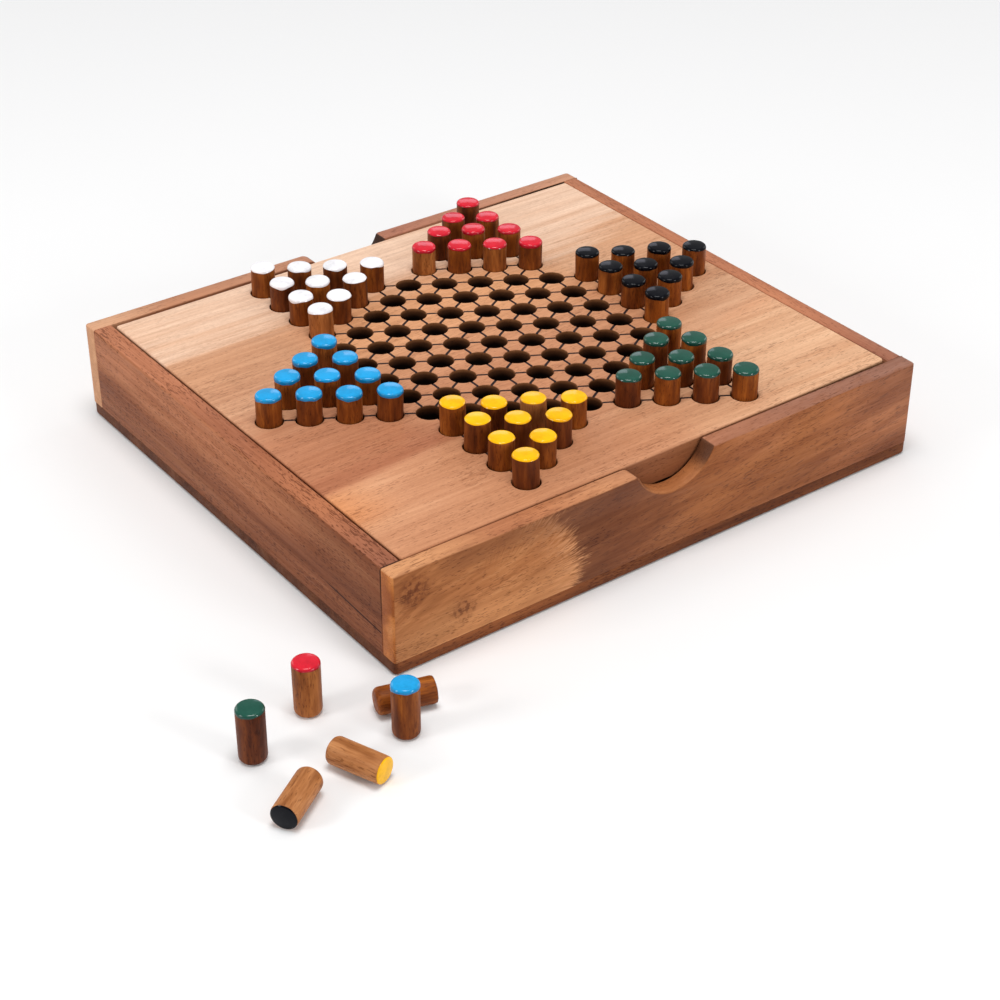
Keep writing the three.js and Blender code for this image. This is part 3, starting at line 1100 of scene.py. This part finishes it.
LIFT = (0.3 * MM, 1.6 * MM)  # a peg stands this far above the bottom of its hole, from and to
TONE_AND_RIM_SHADE = "tone"  # a point attribute: on the wood its tone, on the paint how strong its painted shade is
TONE_MEAN, TONE_SPREAD = 0.27, 0.34
TONE_LIMITS = (0.04, 0.95)

PAINTS = {
    "black": srgb(7, 8, 16),
    "red": srgb(218, 22, 46),
    "white": srgb(244, 242, 245),
    "blue": srgb(20, 160, 223),
    "yellow": srgb(252, 188, 0),
    "green": srgb(18, 78, 63),
}

# Painted shade on the paint's rounded lower edge: its colour is the coat's times this, and these are the
# colours' own where they have one.
RIM_SHADE = (0.55, 0.55, 0.60)
RIM_SHADES = {"white": (0.90, 0.88, 0.88), "yellow": (0.90, 0.72, 0.60)}
# The specular level, and again the colours' own.
GLOSS = 0.42
GLOSSES = {"black": 0.14, "yellow": 0.25, "green": 0.48}

# In millimetres: how far down from its top a peg is painted, from and to, and the longest drip below that.
# The spare pegs have their own.
LAPS = {
    "black": (1.1, 1.7, 0.5),
    "red": (0.8, 1.9, 0.6),
    "white": (0.7, 1.5, 1.0),
    "blue": (1.3, 1.9, 0.6),
    "yellow": (0.5, 0.9, 0.4),
    "green": (1.1, 1.6, 0.5),
}
SPARE_LAPS = {
    "black": (0.35, 0.42, 0.0),
    "red": (1.1, 1.2, 0.5),
    "white": (0.35, 0.42, 0.0),
    "blue": (1.5, 1.7, 1.4),
    "yellow": (0.35, 0.42, 0.0),
    "green": (1.1, 1.3, 0.4),
}
# The tone of the spare pegs' wood. The others draw theirs.
SPARE_TONES = {"black": 0.94, "red": 0.62, "white": 0.50, "blue": 0.34, "yellow": 1.0, "green": 0.0}


def peg_wood():
    """Dowels of many tones: the tone attribute runs from dark brown at 0 to golden at 1."""
    n = Nodes("peg_wood")
    grain = n.attribute(GRAIN)
    tone = n.attribute(TONE_AND_RIM_SHADE, "Fac")
    band = n.noise(grain, 55, 290, detail=3.0, roughness=0.62)
    dark = n.ramp(band, (0.32, (76, 33, 14)), (0.52, (104, 50, 21)), (0.70, (130, 68, 28)))
    middle = n.ramp(band, (0.32, (110, 52, 14)), (0.52, (148, 78, 23)), (0.70, (182, 106, 39)))
    golden = n.ramp(band, (0.32, (158, 97, 50)), (0.52, (191, 127, 76)), (0.70, (212, 150, 98)))
    colour = n.mix(n.times(tone, 2.0, clamp=True), dark, middle)
    colour = n.mix(n.minus(n.times(tone, 2.0), 1.0, clamp=True), colour, golden)
    return finish_wood(n, grain, colour, pores=1.3, pore_depth=0.60, fibre_depth=0.26, roughness=(0.40, 0.55))


def paint(colour):
    """Glossy enamel, a little uneven in colour and in its skin. Along its lower edge, where the tone
    attribute is 1, it is darkened with painted shade."""
    n = Nodes(f"{colour}_paint")
    grain = n.attribute(GRAIN)
    rim = n.attribute(TONE_AND_RIM_SHADE, "Fac")
    cloud = n.noise(grain, 160, 160, detail=2.0)
    streaks = n.noise(grain, 300, 900, detail=2.0)
    base = PAINTS[colour]
    deeper = (*[c * 0.86 for c in base[:3]], 1.0)
    lighter = (*[min(1.0, c * 1.08 + 0.004) for c in base[:3]], 1.0)
    coat = n.ramp(n.plus(n.times(cloud, 0.7), n.times(streaks, 0.3)),
                  (0.36, deeper), (0.5, base), (0.66, lighter))
    # Painted shade along the paint's lower edge.
    rim_shaded = n.tinted(coat, RIM_SHADES.get(colour, RIM_SHADE))
    n.link(n.mix(rim, coat, rim_shaded), n.shader.inputs["Base Color"])
    n.link(n.step(cloud, -1.2, 7.2), n.shader.inputs["Roughness"])
    n.bump(cloud, PAINT_RELIEF, 0.4)
    n.shader.inputs["Specular IOR Level"].default_value = GLOSSES.get(colour, GLOSS)
    return n.material


def lathe(name, rows):
    """A closed mesh about Z. rows holds the lowest point's height, then for each ring a function from the
    angle to the ring's radius and height there, then the highest point's height."""
    shape = bmesh.new()
    poles = [shape.verts.new((0, 0, rows[0])), shape.verts.new((0, 0, rows[-1]))]
    rings = []
    for row in rows[1:-1]:
        ring = []
        for step in range(PEG_STEPS):
            angle = 2 * math.pi * step / PEG_STEPS
            radius, height = row(angle)
            ring.append(shape.verts.new((radius * math.cos(angle), radius * math.sin(angle), height)))
        rings.append(ring)
    for lower, upper in zip(rings, rings[1:]):
        for i in range(PEG_STEPS):
            j = (i + 1) % PEG_STEPS
            shape.faces.new((lower[i], lower[j], upper[j], upper[i]))
    for i in range(PEG_STEPS):
        j = (i + 1) % PEG_STEPS
        shape.faces.new((poles[0], rings[0][j], rings[0][i]))
        shape.faces.new((poles[1], rings[-1][i], rings[-1][j]))
    return finished_mesh(name, shape)


def edge_radius(outer, depth):
    """The radius at a depth below the flat of a top whose edge is rounded by PEG_EDGE."""
    if depth >= PEG_EDGE:
        return outer
    return outer - PEG_EDGE + math.sqrt(PEG_EDGE ** 2 - (PEG_EDGE - max(depth, 0.0)) ** 2)


def dowel_mesh(name, rng):
    """The bare wood of a peg along Z: rounded at the foot, and less so at the top."""
    top = PEG_LENGTH - PAINT_DOME
    phase = rng.uniform(0, 2 * math.pi)

    def at(radius, height):
        wobble = WOBBLE * radius / PEG_RADIUS

        def row(angle):
            return radius + wobble * math.sin(2 * angle + phase + WOBBLE_TWIST * height), height
        return row

    rows = [0.0]
    for step in range(FOOT_STEPS + 1):
        turn = math.pi / 2 * step / FOOT_STEPS
        inset = FOOT_ROUNDING * (1 - math.sin(turn))
        rows.append(at(PEG_RADIUS - inset, FOOT_ROUNDING * (1 - math.cos(turn))))
    for height in np.linspace(FOOT_ROUNDING, top - PEG_EDGE, SIDE_RINGS)[1:]:
        rows.append(at(PEG_RADIUS, height))
    for share in EDGE_SHARES:
        depth = PEG_EDGE * share
        rows.append(at(edge_radius(PEG_RADIUS, depth), top - depth))
    return lathe(name, rows + [top])


def cap_mesh(name, rng, low, high, longest_drip):
    """The coat of paint on a peg's top: nearly flat, and lapped round the edge to an uneven, beaded line."""
    top = PEG_LENGTH - PAINT_DOME
    flat = top + PAINT_FILM
    base = rng.uniform(low, high)
    slant = rng.uniform(0.0, MOST_SLANT) * base
    slant_angle = rng.uniform(0, 2 * math.pi)
    waves = [(rng.uniform(*WAVE_SIZES) * base, rng.uniform(0, 2 * math.pi), count) for count in WAVE_COUNTS]
    drips = [(rng.uniform(0.1, 1.0) * longest_drip, rng.uniform(-math.pi, math.pi)) for _ in range(DRIPS)]

    def lap(angle):
        """How far down from the top the paint reaches at this angle."""
        reach = base + slant * math.cos(angle - slant_angle)
        reach += sum(size * math.sin(count * angle + phase) for size, phase, count in waves)
        for length, where in drips:
            away = (angle - where + math.pi) % (2 * math.pi) - math.pi
            reach += length * math.exp(-(away / DRIP_WIDTH) ** 2)
        return max(reach, LEAST_LAP)

    def side(share, proud):
        """A ring at a share of the painted depth, so much outside the bare wood."""
        def row(angle):
            depth = lap(angle) * share
            return edge_radius(PEG_RADIUS, depth) + proud, flat - depth
        return row

    def level(radius, height):
        return lambda angle: (radius, height)

    inner = PEG_RADIUS - PEG_EDGE - PAINT_FLOOR
    under = top - PAINT_FLOOR
    rows = [under, level(inner * 0.5, under), level(inner, under), side(1.0, -PAINT_TUCK),
            side(1.0, PAINT_FILM - PAINT_BEAD), side(BEAD_SHARE, PAINT_FILM + PAINT_BEAD)]
    rows += [side(share, PAINT_FILM) for share in PAINT_SHARES]
    edge = PEG_RADIUS + PAINT_FILM - PEG_EDGE
    for share in DOME_SHARES:
        rows.append(level(edge * share, flat + (PAINT_DOME - PAINT_FILM) * (1 - share ** 2)))
    return lathe(name, rows + [PEG_LENGTH])


def make_peg(name, colour, body, matrix, materials, node=None):
    """A dowel and its cap of paint, placed by matrix. The peg's own frame has its foot at the origin."""
    rng = random.Random(name)
    offset = np.array([rng.uniform(0, 3) for _ in range(3)])
    spare = "spare" in name
    tone = SPARE_TONES[colour] if spare else float(np.clip(rng.gauss(TONE_MEAN, TONE_SPREAD), *TONE_LIMITS))
    laps = [value * MM for value in (SPARE_LAPS if spare else LAPS)[colour]]
    meshes = {"wood": dowel_mesh(f"{name}_wood", rng),
              "paint": cap_mesh(f"{name}_paint", rng, *laps)}
    for part, mesh in meshes.items():
        smooth_by_angle(mesh)
        places = vertex_places(mesh)
        write_grain(mesh, places[:, (2, 0, 1)] + offset)
        if part == "wood":
            tones_and_rim_shade = np.full(len(places), tone)
        else:
            # On the paint: painted shade, from none at the top to full a little way down the side.
            tones_and_rim_shade = np.clip((PEG_LENGTH - PAINT_DOME - places[:, 2]) / RIM_SHADE_DEPTH, 0.0, 1.0)
        mesh.attributes.new(TONE_AND_RIM_SHADE, "FLOAT", "POINT").data.foreach_set("value", tones_and_rim_shade)
        piece = new_object(f"{name}_{part}", mesh, [materials["wood" if part == "wood" else colour]])
        piece.matrix_world = matrix
        slot = "peg_wood" if part == "wood" else f"{colour}_peg"
        place(piece, body, slot, node if part == "wood" else None)


def standing(name, foot):
    """The frame of a standing peg. One in a hole stands a little above its bottom, and leans about a point
    halfway down it."""
    if "spare" in name:
        return Matrix.Translation(foot)
    rng = random.Random(name + " lean")
    lean = Matrix.Rotation(math.radians(rng.uniform(0.0, MOST_LEAN)), 4, "X")
    way = Matrix.Rotation(rng.uniform(0, 2 * math.pi), 4, "Z")
    pivot = Matrix.Translation((0, 0, HOLE_DEPTH / 2))
    lift = Matrix.Translation((0, 0, rng.uniform(*LIFT)))
    return Matrix.Translation(foot) @ lift @ pivot @ way @ lean @ way.inverted() @ pivot.inverted()


# The way each lying peg's painted end points, in degrees from +X.
SPARE_HEADINGS = {"white_spare_peg": -16.8, "yellow_spare_peg": -68.4, "black_spare_peg": -146.4}


def lying(node):
    """The frame of a peg that lies on the table, its axis level and through its node's middle."""
    heading = math.radians(SPARE_HEADINGS[node])
    axis = Vector((math.cos(heading), math.sin(heading), 0.0))
    foot = centre(node) - axis * PEG_LENGTH / 2
    foot.z = PEG_RADIUS + PAINT_FILM / 2
    return Matrix.Translation(foot) @ axis.to_track_quat("Z", "Y").to_matrix().to_4x4()


def make_pegs():
    """A peg for each peg node, and then one in each hole of an arm that is still empty."""
    materials = {colour: paint(colour) for colour in COLOURS}
    materials["wood"] = peg_wood()
    empty = star_places()
    foot_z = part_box("black_peg_1")[0].z
    tips = {colour: centre(f"{colour}_peg_1").xy for colour in COLOURS}
    counts = dict.fromkeys(COLOURS, 0)
    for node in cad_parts:
        colour = node.split("_")[0]
        if colour not in COLOURS:
            continue
        if node in SPARE_HEADINGS:
            matrix = lying(node)
        else:
            foot = Vector((*centre(node).xy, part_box(node)[0].z))
            matrix = standing(node, foot)
            empty = {cell: hole for cell, hole in empty.items() if (hole - foot.xy).length > PEG_RADIUS}
        counts[colour] += "spare" not in node
        make_peg(node, colour, node, matrix, materials, node)
    # These ride on the board.
    for (a, b), hole in empty.items():
        if max(abs(a), abs(b), abs(a + b)) <= ARM:
            continue
        colour = min(COLOURS, key=lambda c: (tips[c] - hole).length)
        counts[colour] += 1
        name = f"{colour}_peg_{counts[colour]}"
        make_peg(name, colour, BOARD, standing(name, Vector((*hole, foot_z))), materials)


# ---- the studio

FLOOR_REACH = 4.0
FLOOR_DROP = 0.05 * MM  # below the pieces, so that no two faces lie in one plane
FLOOR_GREY = 0.90
WORLD_STRENGTH = 0.40

# Each light's name, place, the place that it looks at, its size, power in watts, and colour.
WHITE = (1, 1, 1)
LIGHTS = (
    ("overhead", (-0.10, -0.15, 1.30), (0, 0, 0), 0.55, 9.0, WHITE),
    ("from_left", (-1.20, 0.10, 0.55), (0, 0, 0.02), 0.36, 4.0, WHITE),
    ("from_front", (0.30, -1.30, 0.55), (0, 0, 0.02), 0.34, 4.6, WHITE),
    ("from_right", (1.25, 0.05, 0.60), (0, 0, 0.02), 0.7, 2.6, WHITE),
    ("from_behind", (-0.25, 1.25, 0.70), (0, 0, 0.02), 0.7, 2.4, WHITE),
    ("sheen", (0.85, 1.20, 0.66), (0, 0, 0.05), 0.34, 0.5, (0.86, 0.85, 1.0)),
)


def make_floor():
    mesh = bpy.data.meshes.new("floor")
    corners = [(x * FLOOR_REACH, y * FLOOR_REACH, -FLOOR_DROP)
               for x, y in ((-1, -1), (1, -1), (1, 1), (-1, 1))]
    mesh.from_pydata(corners, [], [(0, 1, 2, 3)])
    n = Nodes("floor")
    n.shader.inputs["Base Color"].default_value = (FLOOR_GREY, FLOOR_GREY, FLOOR_GREY, 1)
    n.shader.inputs["Roughness"].default_value = 0.7
    new_object("floor", mesh, [n.material])


def make_lights():
    for name, stand, aim, size, power, colour in LIGHTS:
        data = bpy.data.lights.new(name, "AREA")
        data.shape = "SQUARE"
        data.size = size
        data.energy = power
        data.color = colour
        light = bpy.data.objects.new(name, data)
        bpy.context.scene.collection.objects.link(light)
        light.matrix_world = turned_to(Vector(stand), Vector(aim))


def make_world():
    """An even white surround."""
    world = bpy.data.worlds.new("studio")
    world.use_nodes = True
    background = world.node_tree.nodes["Background"]
    background.inputs["Color"].default_value = (1, 1, 1, 1)
    background.inputs["Strength"].default_value = WORLD_STRENGTH
    bpy.context.scene.world = world
    bpy.context.scene.view_settings.view_transform = "Standard"


woods = make_woods()
make_box(woods)
make_board(woods)
make_pegs()
make_floor()
make_world()
make_lights()
